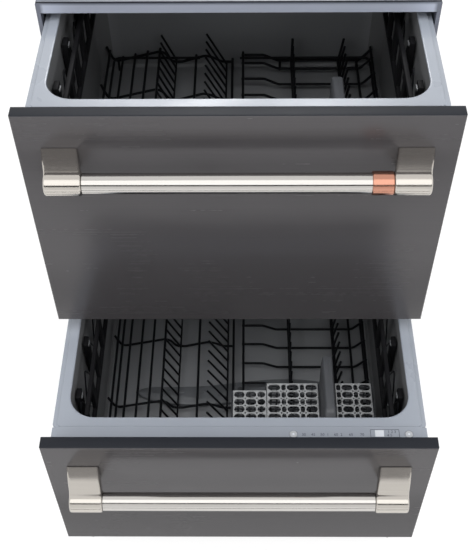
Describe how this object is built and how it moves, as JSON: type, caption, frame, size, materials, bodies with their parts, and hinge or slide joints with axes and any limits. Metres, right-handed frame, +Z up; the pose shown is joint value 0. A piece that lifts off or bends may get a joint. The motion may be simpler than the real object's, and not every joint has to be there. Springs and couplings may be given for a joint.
{
  "type": "two-drawer dishwasher",
  "caption": "Built-in dishwasher with two stacked drawers pulled out, each with a front panel, bar handle, control strip, tub, wire racks and cutlery basket.",
  "frame": {"origin": "on the floor, midway across, in the plane of the cabinet's front frame, which is the middle of the bottom of the bounding box with the drawers out as built", "axes": "+X to the right as seen from the front, +Y from the handles into the cabinet, +Z up"},
  "size_m": [0.599, 1.1102, 0.82],
  "materials": {
    "slate_steel": "satin",
    "frame_steel": "satin",
    "galvanised": "matt zinc",
    "runner_steel": "zinc plated",
    "satin_steel": "satin",
    "grey_plastic": "fine texture",
    "button_plastic": "satin",
    "tub_plastic": "satin",
    "lid_plastic": "matt",
    "motor_plastic": "matt",
    "black_plastic": "satin",
    "rack_coat": "nylon coated",
    "basket_plastic": "matt",
    "basket_lid_plastic": "matt"
  },
  "bodies": {
    "cabinet": {"cabinet_side_left": "galvanised", "cabinet_side_right": "galvanised", "cabinet_top": "galvanised", "cabinet_back": "galvanised", "base_tray": "galvanised", "front_frame": "frame_steel", "runner_wall_left": "galvanised", "runner_wall_right": "galvanised"},
    "foot_front_left": {"foot_front_left": "motor_plastic"},
    "foot_front_right": {"foot_front_right": "motor_plastic"},
    "foot_rear_left": {"foot_rear_left": "motor_plastic"},
    "foot_rear_right": {"foot_rear_right": "motor_plastic"},
    "top_lid": {"top_tub_lid": "lid_plastic"},
    "top_middle_runners": {"top_middle_runner_left": "runner_steel", "top_middle_runner_right": "runner_steel"},
    "top_drawer": {"top_front_panel": "slate_steel", "top_drawer_frame": "runner_steel", "top_handle_post_left": "satin_steel", "top_handle_post_right": "satin_steel", "top_handle_bar": "satin_steel", "top_control_strip": "grey_plastic", "top_tub": "tub_plastic", "top_wash_motor": "motor_plastic", "top_rack_left": "rack_coat", "top_rack_right": "rack_coat"},
    "top_power_button": {"top_power_button": "button_plastic"},
    "top_start_button": {"top_start_button": "button_plastic"},
    "top_spray_arm": {"top_spray_arm": "black_plastic"},
    "top_dispenser_lid": {"top_dispenser_lid": "grey_plastic"},
    "top_tines_outer": {"top_tines_outer": "rack_coat"},
    "top_tines_inner": {"top_tines_inner": "rack_coat"},
    "top_cup_rack_left": {"top_cup_rack_left": "black_plastic"},
    "top_cup_rack_right": {"top_cup_rack_right": "black_plastic"},
    "top_cutlery_basket": {"top_cutlery_basket": "basket_plastic"},
    "lower_lid": {"lower_tub_lid": "lid_plastic"},
    "lower_middle_runners": {"lower_middle_runner_left": "runner_steel", "lower_middle_runner_right": "runner_steel"},
    "lower_drawer": {"lower_front_panel": "slate_steel", "lower_drawer_frame": "runner_steel", "lower_handle_post_left": "satin_steel", "lower_handle_post_right": "satin_steel", "lower_handle_bar": "satin_steel", "lower_control_strip": "grey_plastic", "lower_tub": "tub_plastic", "lower_wash_motor": "motor_plastic", "lower_rack_left": "rack_coat", "lower_rack_right": "rack_coat", "toe_kick": "frame_steel"},
    "lower_power_button": {"lower_power_button": "button_plastic"},
    "lower_start_button": {"lower_start_button": "button_plastic"},
    "lower_spray_arm": {"lower_spray_arm": "black_plastic"},
    "lower_dispenser_lid": {"lower_dispenser_lid": "grey_plastic"},
    "lower_tines_outer": {"lower_tines_outer": "rack_coat"},
    "lower_tines_inner": {"lower_tines_inner": "rack_coat"},
    "lower_cup_rack_left": {"lower_cup_rack_left": "black_plastic"},
    "lower_cup_rack_right": {"lower_cup_rack_right": "black_plastic"},
    "lower_cutlery_basket": {"lower_cutlery_basket": "basket_plastic"},
    "basket_lid_small": {"basket_lid_small": "basket_lid_plastic"},
    "basket_lid_middle": {"basket_lid_middle": "basket_lid_plastic"},
    "basket_lid_right": {"basket_lid_right": "basket_lid_plastic"}
  },
  "joints": [
    {"name": "foot_front_left_screw", "type": "slide", "parent": "cabinet", "child": "foot_front_left", "axis": [0, 0, -1], "range_m": [0, 0.06]},
    {"name": "foot_front_right_screw", "type": "slide", "parent": "cabinet", "child": "foot_front_right", "axis": [0, 0, -1], "range_m": [0, 0.06]},
    {"name": "foot_rear_left_screw", "type": "slide", "parent": "cabinet", "child": "foot_rear_left", "axis": [0, 0, -1], "range_m": [0, 0.06]},
    {"name": "foot_rear_right_screw", "type": "slide", "parent": "cabinet", "child": "foot_rear_right", "axis": [0, 0, -1], "range_m": [0, 0.06]},
    {"name": "top_drawer_slide", "type": "slide", "parent": "cabinet", "child": "top_drawer", "axis": [0, -1, 0], "range_m": [-0.2285, 0.2515]},
    {"name": "top_runner_slide", "type": "slide", "parent": "cabinet", "child": "top_middle_runners", "axis": [0, -1, 0], "range_m": [-0.11425, 0.12575]},
    {"name": "top_lid_drop", "type": "slide", "parent": "cabinet", "child": "top_lid", "axis": [0, 0, -1], "range_m": [0, 0.006]},
    {"name": "top_power_press", "type": "slide", "parent": "top_drawer", "child": "top_power_button", "axis": [0, 0, -1], "range_m": [0, 0.0012], "stiffness_N_per_m": 300, "springref_m": -0.001},
    {"name": "top_start_press", "type": "slide", "parent": "top_drawer", "child": "top_start_button", "axis": [0, 0, -1], "range_m": [0, 0.0012], "stiffness_N_per_m": 300, "springref_m": -0.001},
    {"name": "top_spray_spin", "type": "hinge", "parent": "top_drawer", "child": "top_spray_arm", "pos_m": [0, 0.0565, 0.4953], "axis": [0, 0, 1], "continuous": true},
    {"name": "top_dispenser_open", "type": "hinge", "parent": "top_drawer", "child": "top_dispenser_lid", "pos_m": [-0.11, -0.1592, 0.6401], "axis": [-1, 0, 0], "range_deg": [0, 90]},
    {"name": "top_outer_tines_fold", "type": "hinge", "parent": "top_drawer", "child": "top_tines_outer", "pos_m": [-0.12, 0.0565, 0.51235], "axis": [0, 1, 0], "range_deg": [0, 95]},
    {"name": "top_inner_tines_fold", "type": "hinge", "parent": "top_drawer", "child": "top_tines_inner", "pos_m": [-0.025, 0.0565, 0.51235], "axis": [0, 1, 0], "range_deg": [-41, 0]},
    {"name": "top_left_cup_rack_fold", "type": "hinge", "parent": "top_drawer", "child": "top_cup_rack_left", "pos_m": [-0.25, 0.0565, 0.6881], "axis": [0, 1, 0], "range_deg": [0, 90]},
    {"name": "top_right_cup_rack_fold", "type": "hinge", "parent": "top_drawer", "child": "top_cup_rack_right", "pos_m": [0.25, 0.0565, 0.6881], "axis": [0, 1, 0], "range_deg": [-90, 0]},
    {"name": "top_basket_lift", "type": "slide", "parent": "top_drawer", "child": "top_cutlery_basket", "axis": [0, 0, 1], "range_m": [0, 0.25]},
    {"name": "lower_drawer_slide", "type": "slide", "parent": "cabinet", "child": "lower_drawer", "axis": [0, -1, 0], "range_m": [-0.46625, 0.01375]},
    {"name": "lower_runner_slide", "type": "slide", "parent": "cabinet", "child": "lower_middle_runners", "axis": [0, -1, 0], "range_m": [-0.23312, 0.00688]},
    {"name": "lower_lid_drop", "type": "slide", "parent": "cabinet", "child": "lower_lid", "axis": [0, 0, -1], "range_m": [0, 0.006]},
    {"name": "lower_power_press", "type": "slide", "parent": "lower_drawer", "child": "lower_power_button", "axis": [0, 0, -1], "range_m": [0, 0.0012], "stiffness_N_per_m": 300, "springref_m": -0.001},
    {"name": "lower_start_press", "type": "slide", "parent": "lower_drawer", "child": "lower_start_button", "axis": [0, 0, -1], "range_m": [0, 0.0012], "stiffness_N_per_m": 300, "springref_m": -0.001},
    {"name": "lower_spray_spin", "type": "hinge", "parent": "lower_drawer", "child": "lower_spray_arm", "pos_m": [0, -0.18125, 0.0568], "axis": [0, 0, 1], "continuous": true},
    {"name": "lower_dispenser_open", "type": "hinge", "parent": "lower_drawer", "child": "lower_dispenser_lid", "pos_m": [-0.11, -0.39695, 0.2016], "axis": [-1, 0, 0], "range_deg": [0, 90]},
    {"name": "lower_outer_tines_fold", "type": "hinge", "parent": "lower_drawer", "child": "lower_tines_outer", "pos_m": [-0.12, -0.18125, 0.07385], "axis": [0, 1, 0], "range_deg": [0, 95]},
    {"name": "lower_inner_tines_fold", "type": "hinge", "parent": "lower_drawer", "child": "lower_tines_inner", "pos_m": [-0.025, -0.18125, 0.07385], "axis": [0, 1, 0], "range_deg": [-41, 0]},
    {"name": "lower_left_cup_rack_fold", "type": "hinge", "parent": "lower_drawer", "child": "lower_cup_rack_left", "pos_m": [-0.25, -0.18125, 0.2496], "axis": [0, 1, 0], "range_deg": [0, 90]},
    {"name": "lower_right_cup_rack_fold", "type": "hinge", "parent": "lower_drawer", "child": "lower_cup_rack_right", "pos_m": [0.25, -0.18125, 0.2496], "axis": [0, 1, 0], "range_deg": [-90, 0]},
    {"name": "lower_basket_lift", "type": "slide", "parent": "lower_drawer", "child": "lower_cutlery_basket", "axis": [0, 0, 1], "range_m": [0, 0.125]},
    {"name": "basket_lid_small_hinge", "type": "hinge", "parent": "lower_cutlery_basket", "child": "basket_lid_small", "pos_m": [0.1, -0.26975, 0.19915], "axis": [-1, 0, 0], "range_deg": [0, 100]},
    {"name": "basket_lid_middle_hinge", "type": "hinge", "parent": "lower_cutlery_basket", "child": "basket_lid_middle", "pos_m": [0.1, -0.25475, 0.19915], "axis": [-1, 0, 0], "range_deg": [0, 100]},
    {"name": "basket_lid_right_hinge", "type": "hinge", "parent": "lower_cutlery_basket", "child": "basket_lid_right", "pos_m": [0.1, -0.25475, 0.19915], "axis": [-1, 0, 0], "range_deg": [0, 100]}
  ],
  "couplings": [
    {"joint": "top_runner_slide", "follows": "top_drawer_slide", "ratio": 0.5},
    {"joint": "lower_runner_slide", "follows": "lower_drawer_slide", "ratio": 0.5}
  ]
}
